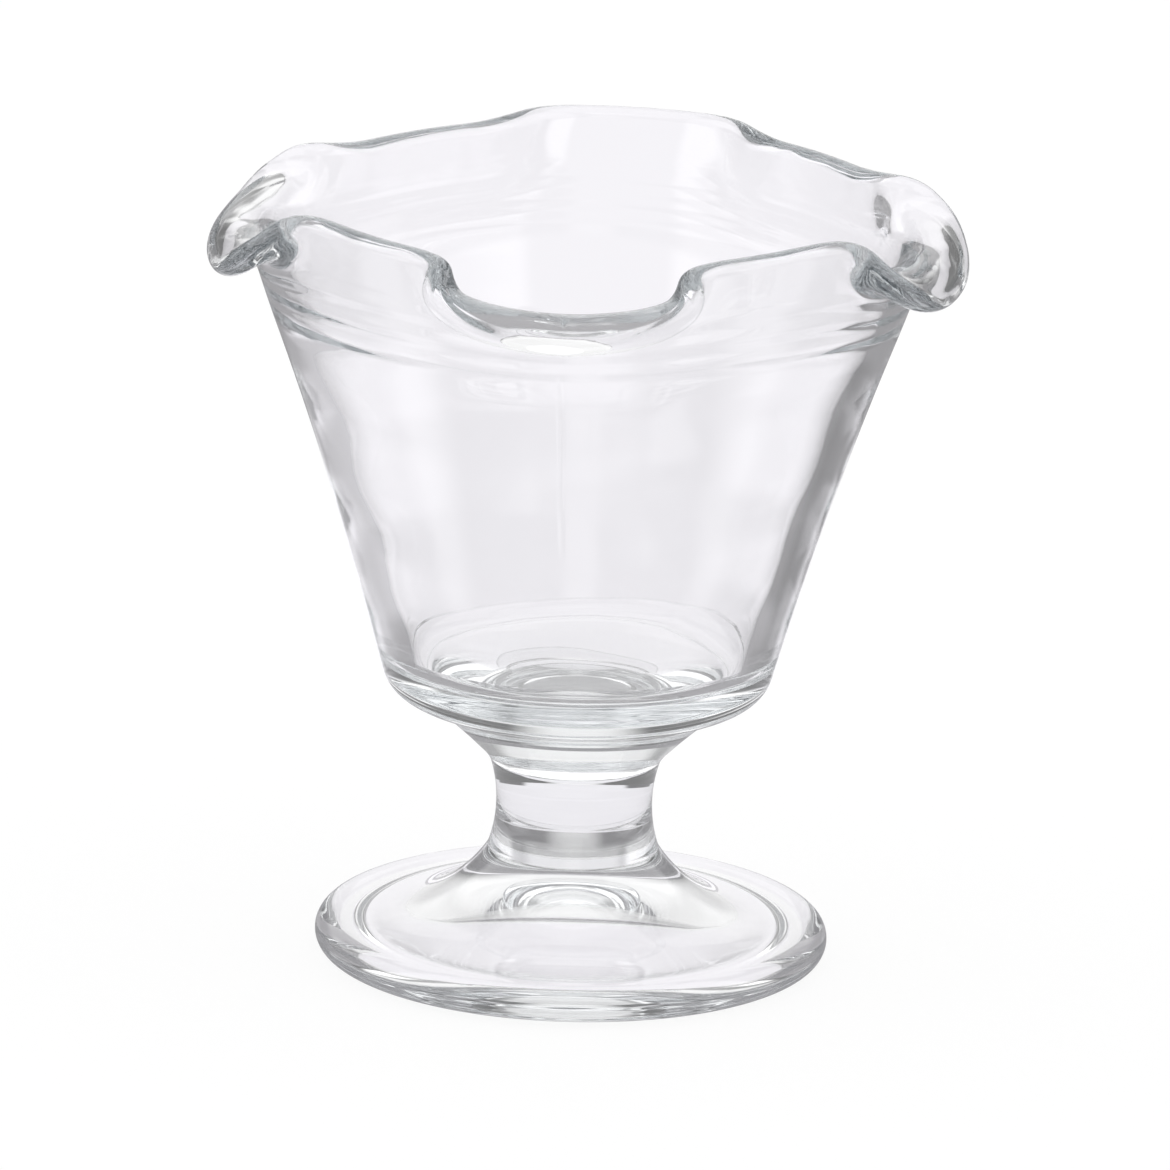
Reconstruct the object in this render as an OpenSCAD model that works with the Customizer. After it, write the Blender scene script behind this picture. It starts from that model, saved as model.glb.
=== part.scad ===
// Footed ice-cream dish in pressed clear glass, in millimetres.
// The dish stands on z = 0 with its axis on Z, and one lip of the rim points to -Y.
// Three pieces are fused at two flat weld faces: the foot, the waisted stem and the lipped bowl.

/* [Foot] */
// Diameter of the foot
foot_d = 78; // [66:1:90]
// Height of the foot up to its weld with the stem
foot_h = 17; // [14:0.5:22]
// Height of the top of the foot's rounded edge
foot_edge_h = 6; // [4:0.1:7]
// Lift of the underside of the rounded edge above the table
foot_edge_lift = 0.3; // [0.1:0.1:0.8]
// Rise of the plate's upper face from the edge inwards, in degrees
foot_plate_rise = 4; // [2:0.5:8]
// Radius of the sweep from the stem down to the plate
foot_sweep_r = 23; // [18:1:32]
// Width of the foot outside the recess in its underside
recess_inset = 6.5; // [6:0.1:14]
// Depth of the recess at its edge
recess_depth = 1.3; // [0.6:0.1:2]
// Extra depth of the recess in the middle
recess_crown = 0.6; // [0.1:0.1:1.4]
// Width of the slope at the recess's edge
recess_slope_w = 1.2; // [0.4:0.1:2.5]
// Width of the flat ring that the dish stands on
stand_w = 2.8; // [1.5:0.1:3.2]

/* [Stem] */
// Height of the stem between its two welds
stem_h = 14; // [10:0.5:26]
// Diameter at the waist
stem_waist_d = 23.7; // [18:0.1:25]
// Diameter of both weld faces
weld_d = 26; // [25.4:0.1:30]

/* [Bowl base] */
// Height of the button from its weld up to the underside of the bowl
button_h = 10; // [8:0.5:13]
// Radius of the hollow flare of the button
button_flare_r = 8.5; // [6:0.5:11]
// Lean of the flare at the weld, in degrees from upright
button_lean_low = 29; // [20:1:35]
// Lean of the flare where it runs into the underside, in degrees
button_lean_high = 45; // [38:1:48]
// Glass under the bowl's floor
floor_t = 6; // [4:0.5:9]
// Radius of the round heel under the wall
heel_r = 5.5; // [4:0.5:7]
// Radius of the wall's middle surface at the heel
wall_foot_r = 27.3; // [25:0.1:31]
// Fillet inside, between the floor and the wall
floor_fillet_r = 4; // [2:0.5:6]

/* [Wall] */
// Height of the crown of the rim above the underside of the bowl
bowl_h = 80.2; // [68:0.5:94]
// Height below the crown at which the lips start to turn out
fold_drop = 20; // [17:0.5:23]
// Radius of the wall's middle surface where the lips start, towards a lip
fold_r = 45.4; // [42:0.1:49]
// How much nearer the axis the wall lies between two lips at that height
fold_flat = 1.4; // [0:0.1:3]
// How far the wall bows in between the heel and the fold
wall_bow = 0.7; // [0:0.1:1.5]
// Glass thickness at the heel
wall_low_t = 5; // [4:0.1:6]
// Glass thickness where the lips start
wall_fold_t = 4.5; // [3.5:0.1:5]
// Glass thickness at the rim
wall_rim_t = 4; // [3.2:0.1:4.8]

/* [Lips] */
// Turn of each lip from its quarter, in degrees: front, right, back, left
lip_offsets = [0, -5, -4, 2]; // [-8:1:8]
// Half width of each lip, in degrees
lip_spreads = [17, 20, 19, 21.5]; // [16:0.5:28]
// Angle over which the rim turns from a hump into each lip, in degrees
lip_blends = [34, 37, 28, 37]; // [26:1:44]
// Angle by which the ends of each lip's nose spread sideways, in degrees
lip_fans = [12, 14, 3, 14]; // [0:1:16]
// Lean of the glass under each lip's roll, in degrees from level
lip_leans = [72, 71, 66, 71]; // [60:1:80]
// Slope of each lip's nose below level, in degrees; the back lip still rises
lip_droops = [56, 82, -58, 82]; // [-70:1:90]
// Length of the glass between the fold and each lip's roll
lip_rises = [9.6, 9.2, 11.5, 9.8]; // [9:0.1:13]
// Length of the glass that is rolled over in each lip
lip_rolls = [7.3, 9.4, 6.4, 9.4]; // [6:0.1:11]
// Length of the straight glass at the top of a hump
hump_top = 6.4; // [4:0.1:9]
// Lean of the glass below the top of a hump, in degrees from level
hump_rise_lean = 95; // [86:1:100]
// Lean of the top of a hump, in degrees from level
hump_lean = 93; // [86:1:100]
// How much each hump stays below the crown: front right, back right, back left, front left
hump_drops = [0.6, 1.9, 2.1, 0.8]; // [0:0.1:3]

/* [Hidden] */
$fn = 72;
// Steps round the rim, up the wall, up the rise, round the roll, over the edge and along the fillets
turn_steps = 144;
wall_steps = 3;
rise_steps = 3;
roll_steps = 6;
edge_steps = 5;
heel_steps = 4;
flare_steps = 2;
fillet_steps = 3;
// Run of a cut past the face that it leaves
overrun = 1;
// Steps over which slopes of the wall are measured: degrees round the rim, and share along the sheet
slope_turn = 0.05;
slope_share = 0.004;
// Share of a lip's weight, and place on the sheet, from which its nose spreads sideways
fan_start = 0.1;
fan_low = 0.5;
// Power that makes the roll of a lip start later than its lean
roll_late = 1.6;
// Place on the round edge, in degrees below level, where the standing ring's bevel meets it
toe_turn = 70;

foot_r = foot_d / 2;
recess_r = foot_r - recess_inset;
stand_r = recess_r + stand_w;
foot_edge_r = (foot_edge_h - foot_edge_lift) / 2;
foot_edge_cr = foot_r - foot_edge_r;
foot_edge_cz = foot_edge_lift + foot_edge_r;

weld_r = weld_d / 2;
stem_waist_r = stem_waist_d / 2;
stem_z = foot_h;
bowl_z = stem_z + stem_h;
under_z = bowl_z + button_h;
floor_z = under_z + floor_t;
crown_z = under_z + bowl_h;
hump_end_z = crown_z - wall_rim_t / 2;

// The wall's middle surface runs from the heel to the fold, bowed in between.
fold_z = crown_z - fold_drop;
fold_mean_r = fold_r - fold_flat / 2;
wall_run = norm([fold_mean_r - wall_foot_r, fold_z - under_z]);
bow_turn = atan(4 * wall_bow / wall_run);
heel_lean = atan((fold_mean_r - wall_foot_r) / (fold_z - under_z)) - bow_turn;
heel_cr = wall_foot_r - (heel_r - wall_low_t / 2) * cos(heel_lean);
heel_cz = under_z + heel_r;
wall_foot_z = heel_cz - (heel_r - wall_low_t / 2) * sin(heel_lean);
wall_foot = [wall_foot_r, wall_foot_z];

lip_count = len(lip_offsets);
lip_quarter = 360 / lip_count;
lip_ones = [for (k = lip_offsets) 1];
lip_slopes = [for (droop = lip_droops) -droop];

function ease(t) = let (c = min(1, max(0, t))) c * c * (3 - 2 * c);
function unit(v) = v / norm(v);
function turned(v, turn) = [v[0] * cos(turn) + v[1] * sin(turn), v[1] * cos(turn) - v[0] * sin(turn)];
function arc_turns(from, to, steps) = [for (i = [0 : steps]) from + (to - from) * i / steps];

// Step along an arc of glass that starts at a lean and turns evenly over its run.
function chord_share(turn) = turn == 0 ? 1 : sin(turn / 2) * 360 / (turn * PI);
function arc_step(lean, turn, run) =
    [cos(lean + turn / 2), sin(lean + turn / 2)] * run * chord_share(turn);

// How far each lip shapes the rim at one angle: 1 on the lip, 0 on a hump.
function full_gap(d) = abs(d - 360 * round(d / 360));
function lip_angle(k) = lip_quarter * (k - 1) + lip_offsets[k];
function lip_gap(a, k) = full_gap(a - lip_angle(k));
function lip_weight(a, k) = 1 - ease((lip_gap(a, k) - lip_spreads[k]) / lip_blends[k] + 1 / 2);
function lip_weights(a) =
    let (weights = [for (k = [0 : lip_count - 1]) lip_weight(a, k)])
    weights / max(1, weights * lip_ones);
function mix_lips(a, hump, lips) = hump + lip_weights(a) * [for (lip = lips) lip - hump];

// A lip rolls over only near its middle, and there its nose spreads sideways, most at its ends.
function roll_weights(a) = [for (w = lip_weights(a)) pow(w, roll_late)];
function lip_end(a, k) = sign(sin(a - lip_angle(k))) * sin(90 * min(1, lip_gap(a, k) / lip_spreads[k]));
function nose_end(a, k) = lip_end(a, k) * ease((lip_weights(a)[k] - fan_start) / (1 - fan_start));
function fan_turn(a, s) =
    ease((s - fan_low) / (2 - fan_low)) * (lip_fans * [for (k = [0 : lip_count - 1]) nose_end(a, k)]);

// How far the humps stay below the crown at one angle.
function hump_weight(a, k) = 1 - ease(full_gap(a - lip_quarter * (k - 1 / 2)) / lip_quarter);
function hump_drop(a) =
    (1 - lip_weights(a) * lip_ones) * ([for (k = [0 : lip_count - 1]) hump_weight(a, k)] * hump_drops);

// Middle surface of the glass at one angle, as [radius, height]: the wall up to the fold,
// the rise that leans to a lip or a hump, and the roll that ends in the rim.
function between_lips(a) = (1 - cos(lip_count * a)) / 2;
function fold_point(a) = [fold_r - fold_flat * between_lips(a), fold_z];
function wall_slope(a) = unit(fold_point(a) - wall_foot);
function wall_point(a, s) =
    wall_foot + (fold_point(a) - wall_foot) * s + turned(wall_slope(a), 90) * -4 * wall_bow * s * (1 - s);
function fold_lean(a) = atan2(wall_slope(a)[1], wall_slope(a)[0]) - bow_turn;
function rise_lean(a) = mix_lips(a, hump_rise_lean, lip_leans);
function rim_lean(a) = hump_lean + roll_weights(a) * [for (slope = lip_slopes) slope - hump_lean];
hump_rise = hump_end_z - fold_z - arc_step(hump_rise_lean, hump_lean - hump_rise_lean, hump_top)[1];
hump_fold_lean = fold_lean(lip_quarter / 2);
hump_run = hump_rise / arc_step(hump_fold_lean, hump_rise_lean - hump_fold_lean, 1)[1];
function rise_run(a) = mix_lips(a, hump_run, lip_rises) - hump_drop(a);
function roll_run(a) = mix_lips(a, hump_top, lip_rolls);
function rise_point(a, s) =
    fold_point(a) + arc_step(fold_lean(a), (rise_lean(a) - fold_lean(a)) * s, rise_run(a) * s);
function roll_point(a, s) =
    rise_point(a, 1) + arc_step(rise_lean(a), (rim_lean(a) - rise_lean(a)) * s, roll_run(a) * s);

// The same surface in space. Its share s is -1 at the heel, 0 at the fold, 1 at the roll and 2 at the rim.
function place(a, p) = [p[0] * cos(a), p[0] * sin(a), p[1]];
function sheet_point(a, s) = s < 0 ? wall_point(a, 1 + s) : s < 1 ? rise_point(a, s) : roll_point(a, s - 1);
function sheet(a, s) = place(a + fan_turn(a, s), sheet_point(a, s));
function sheet_up(a, s) = unit(sheet(a, min(2, s + slope_share)) - sheet(a, max(-1, s - slope_share)));
function sheet_round(a, s) = unit(sheet(a + slope_turn, s) - sheet(a - slope_turn, s));
function sheet_out(a, s) = unit(cross(sheet_round(a, s), sheet_up(a, s)));
function sheet_t(s) =
    wall_fold_t + (s < 0 ? (wall_fold_t - wall_low_t) * s : (wall_rim_t - wall_fold_t) * s / 2);
function skin(a, s, side) = sheet(a, s) + sheet_out(a, s) * side * sheet_t(s) / 2;
function rim_edge(a, turn) =
    sheet(a, 2) + (sheet_out(a, 2) * cos(turn) + sheet_up(a, 2) * sin(turn)) * wall_rim_t / 2;
sheet_steps = concat(
    [for (i = [1 : wall_steps - 1]) i / wall_steps - 1],
    [for (i = [0 : rise_steps]) i / rise_steps],
    [for (i = [1 : roll_steps]) 1 + i / roll_steps]
);

// Outline of the bowl's base from the weld out to the heel, and from the inner fillet in to the floor.
flare_cr = weld_r + button_flare_r * cos(button_lean_low);
flare_cz = bowl_z - button_flare_r * sin(button_lean_low);
flare_points = [
    for (turn = arc_turns(button_lean_low, button_lean_high, flare_steps))
        [flare_cr - button_flare_r * cos(turn), flare_cz + button_flare_r * sin(turn)]
];
flare_end = flare_points[flare_steps];
cone_end = [flare_end[0] + (under_z - flare_end[1]) * tan(button_lean_high), under_z];
heel_points = [
    for (turn = arc_turns(-90, -heel_lean, heel_steps))
        [heel_cr + heel_r * cos(turn), heel_cz + heel_r * sin(turn)]
];
fillet_cz = floor_z + floor_fillet_r;
fillet_cr = wall_foot_r + (fillet_cz - wall_foot_z) * tan(heel_lean)
    - (wall_low_t / 2 + floor_fillet_r) / cos(heel_lean);
fillet_points = [
    for (turn = arc_turns(-heel_lean, -90, fillet_steps))
        [fillet_cr + floor_fillet_r * cos(turn), fillet_cz + floor_fillet_r * sin(turn)]
];

// One section of the bowl at angle a, from the weld up the outside, over the rim and down the inside.
function section(a) = concat(
    [for (p = concat(flare_points, [cone_end], heel_points)) place(a, p)],
    [for (s = sheet_steps) skin(a, s, 1)],
    [for (i = [1 : edge_steps - 1]) rim_edge(a, 180 * i / edge_steps)],
    [for (i = [len(sheet_steps) - 1 : -1 : 0]) skin(a, sheet_steps[i], -1)],
    [for (p = fillet_points) place(a, p)]
);
sections = [for (j = [0 : turn_steps - 1]) section(360 * j / turn_steps)];
section_len = len(sections[0]);

// Each patch between two sections is cut along its shorter diagonal, so the lip ends stay smooth.
function at(j, i) = (j % turn_steps) * section_len + i;
function span(p, q) = norm(bowl_points[p] - bowl_points[q]);
function patch(a, b, c, d) = span(a, c) < span(b, d) ? [[a, c, d], [a, b, c]] : [[a, b, d], [b, c, d]];
bowl_points = [for (s = sections) each s];
bowl_faces = concat(
    [for (j = [0 : turn_steps - 1], i = [0 : section_len - 2])
        each patch(at(j, i), at(j, i + 1), at(j + 1, i + 1), at(j + 1, i))],
    [[for (j = [0 : turn_steps - 1]) at(j, 0)]],
    [[for (j = [turn_steps - 1 : -1 : 0]) at(j, section_len - 1)]]
);

// Bowl: one skin lofted round the axis, with its lips, heel, button and floor.
module bowl() {
    color("lightcyan")
        polyhedron(points = bowl_points, faces = bowl_faces, convexity = 8);
}

// Stem: a round bar, hollowed round its waist by one large arc.
module stem() {
    hollow = weld_r - stem_waist_r;
    sweep_r = (pow(stem_h / 2, 2) + pow(hollow, 2)) / (2 * hollow);
    color("powderblue")
        rotate_extrude()
            difference() {
                translate([0, stem_z])
                    square([weld_r + overrun, stem_h]);
                translate([stem_waist_r + sweep_r, stem_z + stem_h / 2])
                    circle(r = sweep_r);
            }
}

// Foot: a plate with a round edge and a recess below, swept up to the stem.
module foot() {
    sweep_cz = foot_edge_h + foot_sweep_r;
    sweep_cr = weld_r + sqrt(pow(foot_sweep_r, 2) - pow(sweep_cz - foot_h, 2));
    recess_top = recess_depth + recess_crown;
    plate_top = foot_edge_h + foot_edge_cr * tan(foot_plate_rise);
    toe = [foot_edge_cr + foot_edge_r * cos(toe_turn), foot_edge_cz - foot_edge_r * sin(toe_turn)];
    color("lightsteelblue")
        rotate_extrude()
            union() {
                polygon([
                    [0, recess_top],
                    [recess_r - recess_slope_w, recess_depth],
                    [recess_r, 0],
                    [stand_r, 0],
                    toe,
                    [foot_edge_cr, foot_edge_h],
                    [0, plate_top]
                ]);
                translate([foot_edge_cr, foot_edge_cz])
                    circle(r = foot_edge_r);
                difference() {
                    translate([0, recess_top])
                        square([sweep_cr, foot_h - recess_top]);
                    translate([sweep_cr, sweep_cz])
                        circle(r = foot_sweep_r);
                }
            }
}

bowl();
stem();
foot();
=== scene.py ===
# %% [markdown]
# # A footed dessert glass
# This lesson dresses a imported model of a short, heavy ice-cream dish in pressed clear glass.
# The imported model is the frame: it says how big each piece is and where it sits.
# We load it first and build smooth glass pieces in exactly the same place.

# %% Load the frame
import math

import bpy
import numpy as np
from mathutils import Matrix, Vector


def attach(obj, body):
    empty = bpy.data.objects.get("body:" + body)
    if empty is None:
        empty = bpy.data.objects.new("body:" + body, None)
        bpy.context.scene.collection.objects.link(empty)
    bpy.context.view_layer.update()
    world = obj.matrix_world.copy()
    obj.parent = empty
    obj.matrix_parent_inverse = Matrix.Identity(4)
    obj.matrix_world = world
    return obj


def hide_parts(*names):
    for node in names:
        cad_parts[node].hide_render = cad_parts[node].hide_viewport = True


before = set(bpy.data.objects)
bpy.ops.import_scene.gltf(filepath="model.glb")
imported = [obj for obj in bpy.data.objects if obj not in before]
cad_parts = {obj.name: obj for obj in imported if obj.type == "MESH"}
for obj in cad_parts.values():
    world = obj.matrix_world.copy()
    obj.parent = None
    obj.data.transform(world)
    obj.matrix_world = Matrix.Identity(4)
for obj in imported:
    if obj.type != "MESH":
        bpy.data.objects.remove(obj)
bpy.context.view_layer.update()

# %% [markdown]
# ## The camera
# The photograph was taken from far away with a long lens, a little above the rim.
# The distance, the lens and the small roll were found by laying the model's outline over the photograph.
# We build the camera's axes by hand, because that keeps the roll and the framing exact.

# %% Camera
MM = 0.001
PHOTO_SIDE = 1170
camera_azimuth = math.radians(4.3)
camera_elevation = math.radians(16.2)
camera_roll = math.radians(1.5)
camera_distance = 2600 * MM
target = Vector((0, 0, 59.4 * MM))
target_pixel = (580, 577)
pixels_per_mm = 6.6
sensor_width = 36

backwards = Vector((
    math.sin(camera_azimuth) * math.cos(camera_elevation),
    -math.cos(camera_azimuth) * math.cos(camera_elevation),
    math.sin(camera_elevation),
))
level_right = (-backwards).cross(Vector((0, 0, 1))).normalized()
level_up = level_right.cross(-backwards)
camera_right = level_right * math.cos(camera_roll) + level_up * math.sin(camera_roll)
camera_up = level_up * math.cos(camera_roll) - level_right * math.sin(camera_roll)

camera_data = bpy.data.cameras.new("camera")
camera = bpy.data.objects.new("camera", camera_data)
bpy.context.scene.collection.objects.link(camera)
camera.matrix_world = Matrix((camera_right, camera_up, backwards)).transposed().to_4x4()
camera.location = target + backwards * camera_distance
camera_data.sensor_width = sensor_width
camera_data.lens = pixels_per_mm / MM * camera_distance / PHOTO_SIDE * sensor_width
camera_data.shift_x = 0.5 - target_pixel[0] / PHOTO_SIDE
camera_data.shift_y = target_pixel[1] / PHOTO_SIDE - 0.5
bpy.context.scene.camera = camera
print("lens:", round(camera_data.lens, 1), "mm")

# %% [markdown]
# ## Turning a piece
# The foot and the stem are round, so each is drawn as half an outline and spun about the axis, as on a lathe.
# The outline starts as a plane merged to one point, which is then extruded from corner to corner.
# Spinning leaves a double row where it closes and a cluster on the axis, so doubles are merged
# and the normals are recalculated.

# %% Helper: turn an outline
def turn_outline(name, outline, steps):
    """A closed round piece from (radius, height) points in millimetres that start and end on the axis."""
    bpy.ops.object.select_all(action="DESELECT")
    bpy.ops.mesh.primitive_plane_add(size=MM)
    piece = bpy.context.object
    piece.name = piece.data.name = name
    bpy.ops.object.mode_set(mode="EDIT")
    bpy.ops.mesh.select_all(action="SELECT")
    bpy.ops.mesh.merge(type="CENTER")
    points = [Vector((r * MM, 0, z * MM)) for r, z in outline]
    bpy.ops.transform.translate(value=points[0])
    for start, end in zip(points, points[1:]):
        bpy.ops.mesh.extrude_region_move(TRANSFORM_OT_translate={"value": end - start})
    bpy.ops.mesh.select_all(action="SELECT")
    bpy.ops.mesh.spin(steps=steps, angle=math.tau, center=(0, 0, 0), axis=(0, 0, 1))
    bpy.ops.mesh.select_all(action="SELECT")
    bpy.ops.mesh.remove_doubles(threshold=1e-6)
    bpy.ops.mesh.normals_make_consistent(inside=False)
    bpy.ops.object.mode_set(mode="OBJECT")
    return piece


def arc(center, radius, start, end, steps):
    """Points on an arc, from a start angle to an end angle in degrees."""
    turns = np.radians(np.linspace(start, end, steps + 1))
    return [(center[0] + radius * math.cos(t), center[1] + radius * math.sin(t)) for t in turns]


def soft_corner(start, corner, end, steps):
    """Points that round a corner between two places on its sides."""
    shares = np.linspace(0, 1, steps + 1)
    return [
        tuple((1 - t) ** 2 * np.array(start) + 2 * t * (1 - t) * np.array(corner) + t * t * np.array(end))
        for t in shares
    ]


# %% [markdown]
# ## The foot
# The foot is a pressed plate with a round edge. It sweeps up to the stem, and a recess below leaves a flat ring
# to stand on. Its outer sizes repeat the model's own. The recess could stay as shallow as the model's, but it is
# hollowed deeper under the hub, because the hollow draws the light oval seen through the foot in the photograph.

# %% Foot: sizes in millimetres
foot_r, foot_h, weld_r = 39, 17, 13
edge_h, edge_lift = 6, 0.3
edge_from, edge_to = -70, 86
plate_slope, plate_stops, plate_in_r = 4, [34.6, 32.8], 31
sweep_r, sweep_low_r = 23, 23
stand_outside = [(34.8, 0), (35.3, 0), (35.8, 0.13)]
recess_outside = [(32.1, 0.43), (32.5, 0), (33.1, 0)]
recess_inside = [(30.8, 1.31), (31.3, 1.3), (31.7, 0.87)]
hollow_r, hollow_low, hollow_rise, hollow_power = 30.2, 1.33, 8.8, 1.25
core_r, round_steps = 6, 256

edge_r = (edge_h - edge_lift) / 2
edge_center = (foot_r - edge_r, edge_lift + edge_r)
plate_rise = math.tan(math.radians(plate_slope))
sweep_center = (weld_r + math.sqrt(sweep_r ** 2 - (edge_h + sweep_r - foot_h) ** 2), edge_h + sweep_r)
sweep_low_z = sweep_center[1] - math.sqrt(sweep_r ** 2 - (sweep_low_r - sweep_center[0]) ** 2)
print("foot:", 2 * foot_r, "mm across and", foot_h, "mm high")


# %% Foot: outline
def plate_z(r):
    """Height of the top of the plate."""
    return edge_h + (edge_center[0] - r) * plate_rise


def sweep_turn(r, z):
    """Angle of a point on the sweep about its centre, in degrees."""
    return math.degrees(math.atan2(z - sweep_center[1], r - sweep_center[0]))


corner_slope = (sweep_low_r - sweep_center[0]) / (sweep_center[1] - sweep_low_z)
corner_r = (plate_z(0) - sweep_low_z + corner_slope * sweep_low_r) / (corner_slope + plate_rise)
corner = (corner_r, plate_z(corner_r))
hollow_points = [
    (r, hollow_low + hollow_rise * (0.5 + 0.5 * math.cos(math.pi * r / hollow_r)) ** hollow_power)
    for r in np.linspace(0, hollow_r, 40)
]
foot_outline = (
    hollow_points
    + soft_corner(*recess_inside, 4)
    + soft_corner(*recess_outside, 4)
    + soft_corner(*stand_outside, 3)
    + arc(edge_center, edge_r, edge_from, edge_to, 30)
    + [(r, plate_z(r)) for r in plate_stops]
    + soft_corner((plate_in_r, plate_z(plate_in_r)), corner, (sweep_low_r, sweep_low_z), 14)
    + arc(sweep_center, sweep_r, sweep_turn(sweep_low_r, sweep_low_z), sweep_turn(weld_r, foot_h), 22)[1:]
    + [(core_r, foot_h), (0, foot_h)]
)
foot = turn_outline("foot_glass", foot_outline, round_steps)
print("foot:", len(foot.data.polygons), "faces")

# %% [markdown]
# ## The stem
# The stem is a short waisted bar. It could just touch its neighbours, but two glass faces that only touch
# act like mirrors. So it reaches a fifth of a millimetre into the foot and the bowl, and light passes
# as it does through fused glass.

# %% Stem
stem_low, stem_high = foot_h, 31
waist_r = 11.85
weld_lap, lap_inset = 0.2, 0.02

waist_depth = weld_r - waist_r
waist_sweep_r = ((stem_high - stem_low) ** 2 / 4 + waist_depth ** 2) / (2 * waist_depth)
waist_center = (waist_r + waist_sweep_r, (stem_low + stem_high) / 2)
waist_turn = math.degrees(math.asin((stem_high - stem_low) / 2 / waist_sweep_r))
lap_r = weld_r - lap_inset
lap_low, lap_high = stem_low - weld_lap, stem_high + weld_lap
stem_outline = (
    [(0, lap_low), (core_r, lap_low), (lap_r, lap_low)]
    + arc(waist_center, waist_sweep_r, 180 + waist_turn, 180 - waist_turn, 28)
    + [(lap_r, lap_high), (core_r, lap_high), (0, lap_high)]
)
stem = turn_outline("stem_glass", stem_outline, round_steps)
print("stem:", len(stem.data.polygons), "faces")

# %% [markdown]
# ## The bowl
# The bowl starts as a turned piece too: a cone with a thick floor, a round heel and a straight rim.
# Each point of its outline is a station: a fixed place on the base, a place on the inner or outer skin
# of the wall, or a place on the round edge of the rim. After the spin, the rim is bent station by station.

# %% Bowl: sizes in millimetres
button_h, floor_t, bowl_h = 10, 6, 80.2
flare_r, flare_low, flare_high, cone_blend = 8.5, 29, 45, 2.4
heel_r, wall_foot_r, fillet_r = 5.5, 27.3, 4
fold_drop, fold_r, fold_flat, wall_bow = 20, 45.4, 1.4, 0.7
low_t, fold_t, rim_t = 5, 4.5, 4
floor_rings = [18, 12, core_r, 0]
bowl_steps = 384

under_z = stem_high + button_h
floor_z = under_z + floor_t
crown_z = under_z + bowl_h
fold_z = crown_z - fold_drop
fold_mean_r = fold_r - fold_flat / 2
bow_turn = math.degrees(math.atan(4 * wall_bow / math.hypot(fold_mean_r - wall_foot_r, fold_z - under_z)))
heel_lean = math.degrees(math.atan2(fold_mean_r - wall_foot_r, fold_z - under_z)) - bow_turn
lean = math.radians(heel_lean)
heel_center = (wall_foot_r - (heel_r - low_t / 2) * math.cos(lean), under_z + heel_r)
wall_foot = (wall_foot_r, heel_center[1] - (heel_r - low_t / 2) * math.sin(lean))
fillet_cz = floor_z + fillet_r
fillet_cr = (
    wall_foot_r + (fillet_cz - wall_foot[1]) * math.tan(lean) - (low_t / 2 + fillet_r) / math.cos(lean)
)
print("bowl: floor at", floor_z, "mm, crown at", crown_z, "mm")

# %% Bowl: stations
flare_center = (
    weld_r + flare_r * math.cos(math.radians(flare_low)),
    stem_high - flare_r * math.sin(math.radians(flare_low)),
)
flare_points = arc(flare_center, flare_r, 180 - flare_low, 180 - flare_high, 6)
flare_end = flare_points[-1]
cone_end = (flare_end[0] + (under_z - flare_end[1]) * math.tan(math.radians(flare_high)), under_z)
heel_points = arc(heel_center, heel_r, -90, -heel_lean, 14)
fillet_points = arc((fillet_cr, fillet_cz), fillet_r, -heel_lean, -90, 12)

wall_shares = np.linspace(-1, 0, 19)[1:-1]
rise_shares = np.linspace(0, 1, 13)
roll_shares = np.linspace(1, 2, 27)[1:]
skin_shares = np.concatenate([wall_shares, rise_shares, roll_shares])
edge_turns = np.linspace(0, 180, 17)[1:-1]

stations = (
    [("base", p) for p in [(0, stem_high), (core_r, stem_high), *flare_points[:-1]]]
    + [("base", p) for p in soft_corner(flare_end, cone_end, (cone_end[0] + cone_blend, under_z), 6)]
    + [("base", p) for p in heel_points]
    + [("outer", s) for s in skin_shares]
    + [("edge", t) for t in edge_turns]
    + [("inner", s) for s in skin_shares[::-1]]
    + [("base", p) for p in fillet_points]
    + [("base", (r, floor_z)) for r in floor_rings]
)
print("bowl:", len(stations), "stations")

# %% [markdown]
# ## How the rim bends
# The glass of the rim is one sheet of even height. Four lips were turned out of it while it was hot, with humps
# left standing between them. A lip rises from the fold, then rolls over; the back lip is only leaned out.
# Each lip has its own width, lean and roll, because a hot-worked rim is never quite regular.
# Round the rim the lips fade into the humps smoothly.

# %% Rim: sizes of the lips and humps
# The lips stand in the order front, right, back, left. Angles are in degrees, lengths in millimetres.
lip_offsets = np.array([0, -5, -4, 2])
lip_spreads = np.array([17, 20, 19, 21.5])
lip_blends = np.array([34, 37, 28, 37])
lip_fans = np.array([12, 14, 3, 14])
lip_leans = np.array([72, 71, 66, 71])
lip_droops = np.array([56, 82, -58, 82])
lip_rises = np.array([9.6, 9.2, 11.5, 9.8])
lip_rolls = np.array([7.3, 9.4, 6.4, 9.4])
lip_angles = 90 * np.arange(-1, 3) + lip_offsets
roll_late = 1.6
fan_start, fan_edge = 0.5, 0.1
hump_top, hump_rise_lean, hump_lean = 6.4, 95, 93
hump_angles = 90 * np.arange(4) - 45
hump_drops = np.array([0.6, 1.9, 2.1, 0.8])
print("rim:", len(lip_angles), "lips at", lip_angles.tolist(), "degrees")


# %% Rim: blends round the rim
def ease(t):
    """A soft step from 0 to 1."""
    c = np.clip(t, 0, 1)
    return c * c * (3 - 2 * c)


def gap(a, centers):
    """Angles between a and each centre, in degrees, as one row per centre."""
    d = a[None, :] - np.asarray(centers)[:, None]
    return np.abs(d - 360 * np.round(d / 360))


def lip_weights(a):
    """How much of each lip there is at angles a: 1 inside a lip, 0 on a hump."""
    w = 1 - ease((gap(a, lip_angles) - lip_spreads[:, None]) / lip_blends[:, None] + 0.5)
    return w / np.maximum(1, w.sum(0))


def mix_lips(a, hump, lips):
    """A size at angles a, from its value on the humps and on each lip."""
    return hump + (np.asarray(lips) - hump) @ lip_weights(a)


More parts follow.
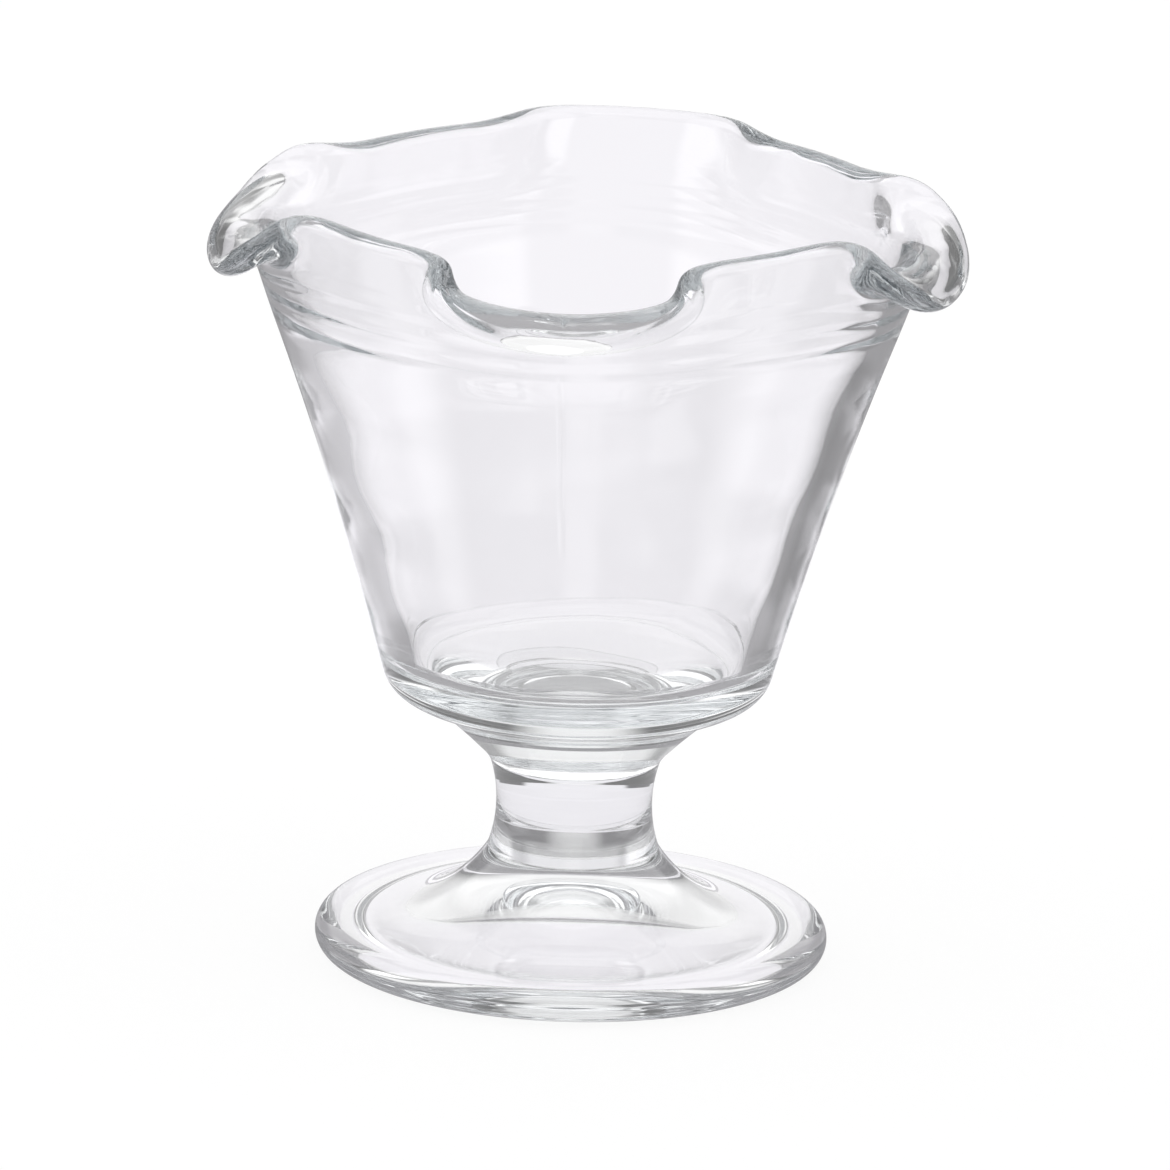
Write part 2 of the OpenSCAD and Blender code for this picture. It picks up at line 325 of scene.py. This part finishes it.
def arc_step(start_lean, turn, run):
    """Step along glass that starts at a lean and turns evenly over its run."""
    half = np.radians(turn) / 2
    middle = np.radians(start_lean) + half
    chord = run * np.sinc(half / np.pi)
    return np.stack([chord * np.cos(middle), chord * np.sin(middle)])


# %% [markdown]
# The middle surface of the sheet is walked from the heel upwards: along the bowed wall to the fold,
# along the rise, and along the roll of the lip. Each stretch is an arc, so the glass turns evenly.

# %% Rim: the sheet's middle surface
def fold_radius(a):
    """Radius of the fold line, which is a little flattened between the lips."""
    return fold_r - fold_flat * (1 - np.cos(np.radians(4 * a))) / 2


def fold_lean(a):
    """Lean of the wall where it reaches the fold line, in degrees."""
    return np.degrees(np.arctan2(fold_z - wall_foot[1], fold_radius(a) - wall_foot[0])) - bow_turn


def sheet_rz(a, s):
    """Radius and height of the wall's middle surface: s runs from -1 at the heel to 0, 1 and 2 at the rim."""
    fold = np.stack([fold_radius(a), np.full_like(a, fold_z)])
    if s < 0:
        foot_point = np.array(wall_foot)[:, None]
        run = fold - foot_point
        inwards = np.stack([-run[1], run[0]]) / np.hypot(run[0], run[1])
        return foot_point + run * (1 + s) + inwards * 4 * wall_bow * (1 + s) * -s
    middle_lean = fold_lean(np.array([45.0]))
    top_step = arc_step(hump_rise_lean, hump_lean - hump_rise_lean, hump_top)[1]
    hump_run = (crown_z - rim_t / 2 - fold_z - top_step) / arc_step(
        middle_lean, hump_rise_lean - middle_lean, 1.0)[1]
    hump_share = 1 - ease(gap(a, hump_angles) / 90)
    drop = (1 - lip_weights(a).sum(0)) * (hump_drops @ hump_share)
    rise = mix_lips(a, hump_run[0], lip_rises) - drop
    rise_lean = mix_lips(a, hump_rise_lean, lip_leans)
    start = fold_lean(a)
    share = min(s, 1)
    point = fold + arc_step(start, (rise_lean - start) * share, rise * share)
    if s > 1:
        rim_lean = hump_lean + (-lip_droops - hump_lean) @ lip_weights(a) ** roll_late
        roll = mix_lips(a, hump_top, lip_rolls)
        point = point + arc_step(rise_lean, (rim_lean - rise_lean) * (s - 1), roll * (s - 1))
    return point


def fan_turn(a, s):
    """How far the glass of a lip spreads sideways, in degrees: most near the ends of its nose."""
    away = a[None, :] - lip_angles[:, None]
    away = away - 360 * np.round(away / 360)
    ends = np.sign(away) * np.sin(np.pi / 2 * np.minimum(1, np.abs(away) / lip_spreads[:, None]))
    inside = ease((lip_weights(a) - fan_edge) / (1 - fan_edge))
    return ease((s - fan_start) / (2 - fan_start)) * (lip_fans @ (ends * inside))


def sheet(a, s):
    """Points of the sheet's middle surface at angles a."""
    r, z = sheet_rz(a, s)
    turn = np.radians(a + fan_turn(a, s))
    return np.stack([r * np.cos(turn), r * np.sin(turn), z], 1)


# %% [markdown]
# The inner and outer skins lie half a thickness from the middle surface. The outer one carries the mould seam,
# a hair of glass where two halves of the mould met, and the inner one the slow waves of the plunger.
# Both are real shape, because light that passes through glass shows the smallest slope.

# %% Rim: skins, seam and waves
step_up, step_round = 0.004, 0.05
seam_h, seam_turn, seam_angle = 0.13, 0.4, -90
seam_low, seam_low_fade, seam_high, seam_high_fade = -0.46, 0.05, 0.36, 0.04
wave_h, wave_count, wave_sway, wave_phase = 0.14, 3.1, 1.6, 40
wave_low_fade, wave_high, wave_high_fade = 0.25, 1.2, 0.6


def unit(v):
    """Rows of length one."""
    return v / np.linalg.norm(v, axis=1, keepdims=True)


def sheet_axes(a, s):
    """Outward normal and upward direction of the sheet at angles a."""
    up = unit(sheet(a, min(2, s + step_up)) - sheet(a, max(-1, s - step_up)))
    along = unit(sheet(a + step_round, s) - sheet(a - step_round, s))
    return unit(np.cross(along, up)), up


def sheet_t(s):
    """Thickness of the glass."""
    return fold_t + ((fold_t - low_t) * s if s < 0 else (rim_t - fold_t) * s / 2)


def seam_ridge(a, s):
    """Height of the mould seam: a hair of glass down the front wall, below the lip."""
    along = ease((s - seam_low) / seam_low_fade) * ease((seam_high - s) / seam_high_fade)
    return seam_h * along * ease(1 - np.abs(a - seam_angle) / seam_turn)


def inner_wave(a, s):
    """Slow waves that the plunger left on the inner wall, none at the floor or the rim."""
    swing = np.sin(wave_count * math.tau * s + wave_sway * np.sin(np.radians(2 * a + wave_phase)))
    return wave_h * swing * ease((s + 1) / wave_low_fade) * ease((wave_high - s) / wave_high_fade)


def station_points(kind, value, a):
    """Where the points of a station of the wall or the rim lie, at angles a in degrees, in millimetres."""
    if kind == "edge":
        out, up = sheet_axes(a, 2)
        t = math.radians(value)
        return sheet(a, 2) + (out * math.cos(t) + up * math.sin(t)) * rim_t / 2
    out = sheet_axes(a, value)[0]
    if kind == "outer":
        return sheet(a, value) + out * (sheet_t(value) / 2 + seam_ridge(a, value))[:, None]
    return sheet(a, value) - out * (sheet_t(value) / 2 + inner_wave(a, value))[:, None]


# %% [markdown]
# The plain bowl is turned from the stations as they would lie with no lips. Two cuts beside the front meridian
# make room for the thin mould seam. Then every point of the wall is moved to its place on the bent sheet.
# A point knows its station by its height and radius in the plain bowl.

# %% Bowl: turn it plain
plain_rim_step, seam_cut = 9, 0.32


def plain_point(kind, value):
    """Radius and height of a station in the straight bowl, before the lips are turned."""
    if kind == "base":
        return value
    s = 2 if kind == "edge" else value
    run = np.array([fold_mean_r - wall_foot[0], fold_z - wall_foot[1]])
    along = run / np.hypot(*run)
    out = np.array([along[1], -along[0]])
    length = np.hypot(*run)
    middle = np.array(wall_foot) + along * (length * (1 + min(s, 0)) + plain_rim_step * max(s, 0))
    if kind == "edge":
        t = math.radians(value)
        return tuple(middle + (out * math.cos(t) + along * math.sin(t)) * rim_t / 2)
    return tuple(middle + out * (1 if kind == "outer" else -1) * sheet_t(s) / 2)


plain_outline = [plain_point(*station) for station in stations]
bowl = turn_outline("bowl_glass", plain_outline, bowl_steps)
bpy.ops.object.mode_set(mode="EDIT")
for side in (-1, 1):
    bpy.ops.mesh.select_all(action="SELECT")
    bpy.ops.mesh.bisect(plane_co=(side * seam_cut * MM, 0, 0), plane_no=(1, 0, 0))
bpy.ops.object.mode_set(mode="OBJECT")
print("plain bowl:", len(bowl.data.polygons), "faces")

# %% Bowl: bend the rim
coordinates = np.empty(len(bowl.data.vertices) * 3)
bowl.data.vertices.foreach_get("co", coordinates)
coordinates = coordinates.reshape(-1, 3) / MM
radii = np.hypot(coordinates[:, 0], coordinates[:, 1])
angles = np.degrees(np.arctan2(coordinates[:, 1], coordinates[:, 0]))
outline = np.array(plain_outline)
nearest = np.array([
    np.argmin((outline[:, 0] - r) ** 2 + (outline[:, 1] - z) ** 2)
    for r, z in zip(radii, coordinates[:, 2])
])
for index, (kind, value) in enumerate(stations):
    if kind != "base":
        chosen = np.nonzero(nearest == index)[0]
        coordinates[chosen] = station_points(kind, value, angles[chosen])
bowl.data.vertices.foreach_set("co", (coordinates * MM).ravel())
bowl.data.update()
print("bowl:", len(bowl.data.polygons), "faces, top at", round(coordinates[:, 2].max(), 2), "mm")

# %% [markdown]
# ## Smooth shading
# Pressed glass is fire-polished, so its faces run into one another. Only the flat weld faces keep a sharp edge.

# %% Shade the glass smooth
sharp_angle = math.radians(32)
glass_pieces = [bowl, stem, foot]
for piece in glass_pieces:
    bpy.ops.object.select_all(action="DESELECT")
    piece.select_set(True)
    bpy.context.view_layer.objects.active = piece
    bpy.ops.object.shade_smooth_by_angle(angle=sharp_angle)
print("smooth:", [piece.name for piece in glass_pieces])

# %% [markdown]
# ## The glass
# Soda-lime glass, pressed and fire-polished: clear, with a faint cool grey that gathers where the light
# travels far through it, in the lips, the heel and the foot's edge. That depth of colour could be painted on the
# surface, but on the real glass it comes from absorption inside, so the surface stays white and polished.
# The lips were worked by hand while hot, and that leaves a faint ripple, which is drawn as a fine bump.

# %% Helpers: colours and nodes
def linear(hex_colour):
    """A linear RGBA colour from an sRGB hex value."""
    parts = [int(hex_colour[i:i + 2], 16) / 255 for i in (1, 3, 5)]
    return [p / 12.92 if p <= 0.04045 else ((p + 0.055) / 1.055) ** 2.4 for p in parts] + [1]


def add_node(tree, kind, settings=None, inputs=None, links=None):
    """One node with its settings, its constant inputs and its incoming links."""
    node = tree.nodes.new(kind)
    for key, value in (settings or {}).items():
        setattr(node, key, value)
    for key, value in (inputs or {}).items():
        node.inputs[key].default_value = value
    for key, socket in (links or {}).items():
        tree.links.new(socket, node.inputs[key])
    return node


# %% Glass material
ripple_width, ripple_depth = 14 * MM, 0.5 * MM
ripple_low, ripple_high = 100 * MM, 108 * MM
ripple_on_wall, ripple_on_lips = 0.03, 0.22

glass = bpy.data.materials.new("soda_lime_glass")
glass.use_nodes = True
tree = glass.node_tree
tree.nodes.clear()
place = add_node(tree, "ShaderNodeTexCoord")
height = add_node(tree, "ShaderNodeSeparateXYZ", links={0: place.outputs["Object"]})
swirls = add_node(tree, "ShaderNodeTexNoise", inputs={
    "Scale": 1 / ripple_width,
    "Detail": 0.0,
    "Distortion": 1.5,
}, links={"Vector": place.outputs["Object"]})
worked = add_node(tree, "ShaderNodeMapRange", {"interpolation_type": "SMOOTHSTEP"}, {
    "From Min": ripple_low,
    "From Max": ripple_high,
    "To Min": ripple_on_wall,
    "To Max": ripple_on_lips,
}, {"Value": height.outputs["Z"]})
ripple = add_node(tree, "ShaderNodeBump", inputs={"Distance": ripple_depth},
                  links={"Strength": worked.outputs[0], "Height": swirls.outputs[0]})
# Fire-polished soda-lime glass gives a clean gloss and no haze, so its roughness is zero.
surface = add_node(tree, "ShaderNodeBsdfPrincipled", inputs={
    "Base Color": linear("#FFFFFF"),
    "Roughness": 0.0,
    "IOR": 1.52,
    "Transmission Weight": 1.0,
}, links={"Normal": ripple.outputs[0]})
depth = add_node(tree, "ShaderNodeVolumeAbsorption", inputs={"Color": linear("#C8CDD0"), "Density": 6.5})
add_node(tree, "ShaderNodeOutputMaterial", links={"Surface": surface.outputs[0], "Volume": depth.outputs[0]})
for piece in glass_pieces:
    piece.data.materials.clear()
    piece.data.materials.append(glass)
print("material:", glass.name)

# %% [markdown]
# ## Riding the frame
# Every glass piece stands for its own node of the model, and moves with the model's one body.

# %% Tie the pieces to the frame
for piece, node in zip(glass_pieces, ["bowl", "stem", "foot"]):
    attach(piece, "root")
    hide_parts(node)
print("pieces ride on root")

# %% [markdown]
# ## The studio
# Clear glass is drawn by what stands round it, and on an all-white ground it would have no edges. Lamps and cards
# could be set up round it, but levels written into the floor and the sky are softer and easier to set.
# The floor is white paper: white to the eye and nearly white through the glass. For light that was turned round
# inside the glass its glow is painted: painted shade close to the foot and far out, and painted grey shade, darker
# to the right, between four brighter painted aisles.
# Two painted dark patches far behind, on the diagonals, stand in for dark cards and show only through a single wall
# of glass.

# %% Helpers: sums and ramps for the stage
def sum_node(tree, operation, *values):
    """One sum on sockets and numbers."""
    node = add_node(tree, "ShaderNodeMath", {"operation": operation})
    for slot, value in enumerate(values):
        if isinstance(value, (int, float)):
            node.inputs[slot].default_value = value
        else:
            tree.links.new(value, node.inputs[slot])
    return node.outputs[0]


def ramp(tree, value, start, end, low, high):
    """A soft step from low to high while the value runs from start to end."""
    node = add_node(tree, "ShaderNodeMapRange", {"interpolation_type": "SMOOTHSTEP"},
                    {"From Min": start, "From Max": end}, {"Value": value})
    for name, level in (("To Min", low), ("To Max", high)):
        if isinstance(level, (int, float)):
            node.inputs[name].default_value = level
        else:
            tree.links.new(level, node.inputs[name])
    return node.outputs[0]


def quarter_wave(tree, axes, turn):
    """A wave with one crest in each quarter of the way round, the first at a turn in degrees."""
    angle = sum_node(tree, "ARCTAN2", axes.outputs["Y"], axes.outputs["X"])
    from_crest = sum_node(tree, "SUBTRACT", angle, math.radians(turn))
    return sum_node(tree, "COSINE", sum_node(tree, "MULTIPLY", from_crest, 4))


# %% Floor: its disc
floor_r, floor_sides = 3.0, 96
bpy.ops.object.select_all(action="DESELECT")
bpy.ops.mesh.primitive_circle_add(vertices=floor_sides, radius=floor_r, fill_type="NGON")
floor = bpy.context.object
floor.name = floor.data.name = "floor"
print("floor:", 2 * floor_r, "m across")

# %% Floor: white paper
# Distances are in metres, levels are shares of white, and edges are values of the wave or the axes.
aisle_turn = 95
near_ring, far_ring, painted_card_ring = (0.1, 0.13), (0.22, 0.28), (0.5, 0.56)
aisle_edge, painted_card_edge, back_edge = (-0.6, 0.6), (-0.1, -0.7), (0.2, 0.5)
one_wall_depth = (2, 3)
# The card level is a painted dark patch in the floor's glow.
white, through_level, painted_card_level = 1.0, 0.96, 0.12
# The next levels are painted shade in the floor's glow, except the aisles, which are painted light.
left_level, right_level, aisle_level = 0.6, 0.18, 1.25
near_level, far_level = 0.36, 0.3
glow_share = 0.9

paper = bpy.data.materials.new("white_paper")
paper.use_nodes = True
tree = paper.node_tree
tree.nodes.clear()
place = add_node(tree, "ShaderNodeTexCoord")
away = add_node(tree, "ShaderNodeVectorMath", {"operation": "LENGTH"}, links={0: place.outputs["Object"]})
heading = add_node(tree, "ShaderNodeVectorMath", {"operation": "NORMALIZE"}, links={0: place.outputs["Object"]})
axes = add_node(tree, "ShaderNodeSeparateXYZ", links={0: heading.outputs[0]})
path = add_node(tree, "ShaderNodeLightPath")
to_eye = path.outputs["Is Camera Ray"]
distance = away.outputs["Value"]
aisles = quarter_wave(tree, axes, aisle_turn)

# Painted shade: two dark patches in the floor's glow, in place of dark cards, seen only through a single wall of
# glass.
behind = sum_node(tree, "MULTIPLY", ramp(tree, aisles, *painted_card_edge, 0.0, 1.0),
                  ramp(tree, axes.outputs["Y"], *back_edge, 0.0, 1.0))
painted_card_shade = ramp(tree, distance, *painted_card_ring, 0.0, behind)
one_wall = ramp(tree, path.outputs["Transmission Depth"], *one_wall_depth, painted_card_shade, 0.0)
passing = ramp(tree, one_wall, 0.0, 1.0, through_level, painted_card_level)

# Painted shade and light for light turned round inside the glass: a grey room darker towards the right, brighter
# painted aisles, grey far out and dim close to the foot.
room_grey = ramp(tree, axes.outputs["X"], -1.0, 1.0, left_level, right_level)
in_aisles = ramp(tree, aisles, *aisle_edge, room_grey, aisle_level)
room = ramp(tree, distance, *far_ring, in_aisles, far_level)
bounced = ramp(tree, distance, *near_ring, near_level, room)

glass_view = ramp(tree, path.outputs["Glossy Depth"], 0.0, 1.0, passing, bounced)
level = ramp(tree, to_eye, 0.0, 1.0, glass_view, white)
tint = add_node(tree, "ShaderNodeMix", {"data_type": "RGBA"}, {6: linear("#FCFAFF"), 7: linear("#FFFFFF")},
                {0: to_eye})
glow = add_node(tree, "ShaderNodeEmission", links={"Color": tint.outputs[2], "Strength": level})
shade = add_node(tree, "ShaderNodeBsdfDiffuse", inputs={"Color": linear("#F4F4F4")})
blend = add_node(tree, "ShaderNodeMixShader", inputs={0: glow_share},
                 links={1: shade.outputs[0], 2: glow.outputs[0]})
add_node(tree, "ShaderNodeOutputMaterial", links={"Surface": blend.outputs[0]})
floor.data.materials.append(paper)
print("floor:", paper.name)

# %% [markdown]
# The sky is soft light. Low down it is dim, which draws the grey sides of the hub, with a narrow bright gap in line
# with each aisle. Higher up it is brighter, most of all to the left, to the right and overhead.

# %% Sky
low_edge, top_edge = (0.24, 0.36), (0.78, 0.86)
gap_edge, panel_edge = (0.4, 1.0), (-0.7, 0.0)
front_edge, side_edge = (-0.3, 0.3), (0.5, 0.62)
low_level, gap_level = 0.2, 1.05
dim_level, panel_level, front_level = 0.4, 1.0, 0.75
side_level, top_level = 1.6, 1.5

world = bpy.data.worlds.new("studio")
bpy.context.scene.world = world
world.use_nodes = True
tree = world.node_tree
tree.nodes.clear()
direction = add_node(tree, "ShaderNodeTexCoord")
axes = add_node(tree, "ShaderNodeSeparateXYZ", links={0: direction.outputs["Generated"]})
path = add_node(tree, "ShaderNodeLightPath")
aisles = quarter_wave(tree, axes, aisle_turn)
sideways = sum_node(tree, "ABSOLUTE", axes.outputs["X"])
low_sky = ramp(tree, aisles, *gap_edge, low_level, gap_level)
back_panels = ramp(tree, aisles, *panel_edge, dim_level, panel_level)
panels = ramp(tree, axes.outputs["Y"], *front_edge, front_level, back_panels)
side_panels = ramp(tree, sideways, *side_edge, panels, side_level)
high_sky = ramp(tree, axes.outputs["Z"], *top_edge, side_panels, top_level)
whole_sky = ramp(tree, axes.outputs["Z"], *low_edge, low_sky, high_sky)
sky_level = ramp(tree, path.outputs["Is Camera Ray"], 0.0, 1.0, whole_sky, white)
sky = add_node(tree, "ShaderNodeBackground", inputs={"Color": linear("#FFFFFF")}, links={"Strength": sky_level})
add_node(tree, "ShaderNodeOutputWorld", links={"Surface": sky.outputs[0]})
print("sky:", world.name)

# %% [markdown]
# ## Finish
# The view transform is Standard, so colours render as they are written. Light may cross many glass faces, so it is
# given many bounces.

# %% View and finish
bpy.context.scene.view_settings.view_transform = "Standard"
light_bounces = 64
bpy.context.scene.cycles.max_bounces = light_bounces
bpy.context.scene.cycles.transmission_bounces = light_bounces
bpy.context.scene.cycles.glossy_bounces = light_bounces
